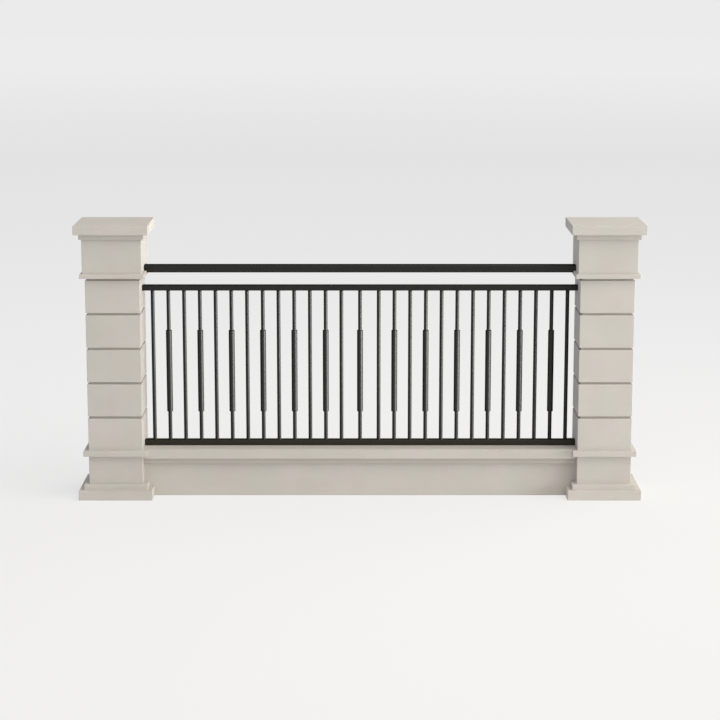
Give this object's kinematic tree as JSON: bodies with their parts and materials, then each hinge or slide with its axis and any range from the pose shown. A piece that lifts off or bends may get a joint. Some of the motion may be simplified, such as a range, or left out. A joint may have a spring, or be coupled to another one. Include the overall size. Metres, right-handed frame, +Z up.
{
  "type": "iron fence bay with stone piers",
  "caption": "Bay of fence: black iron railing with round, partly sleeved balusters and a handrail, on a low stone wall with coping between two square stone piers.",
  "frame": {"origin": "on the ground at the middle of the bay, under the centre of the low wall", "axes": "+X along the fence from the left pier to the right one, +Y through it from front to back, +Z up"},
  "size_m": [2.646, 0.346, 1.3],
  "materials": {
    "stone": "matte",
    "iron": "satin"
  },
  "bodies": {
    "root": {"left_plinth": "stone", "left_base_step": "stone", "left_pedestal": "stone", "left_lower_string": "stone", "left_block_1": "stone", "left_block_2": "stone", "left_block_3": "stone", "left_block_4": "stone", "left_block_5": "stone", "left_upper_string": "stone", "left_upper_die": "stone", "left_cap_bed": "stone", "left_cap": "stone", "right_plinth": "stone", "right_base_step": "stone", "right_pedestal": "stone", "right_lower_string": "stone", "right_block_1": "stone", "right_block_2": "stone", "right_block_3": "stone", "right_block_4": "stone", "right_block_5": "stone", "right_upper_string": "stone", "right_upper_die": "stone", "right_cap_bed": "stone", "right_cap": "stone", "low_wall": "stone", "wall_bed": "stone", "wall_coping": "stone", "railing_panel": "iron", "handrail": "iron"}
  },
  "joints": []
}
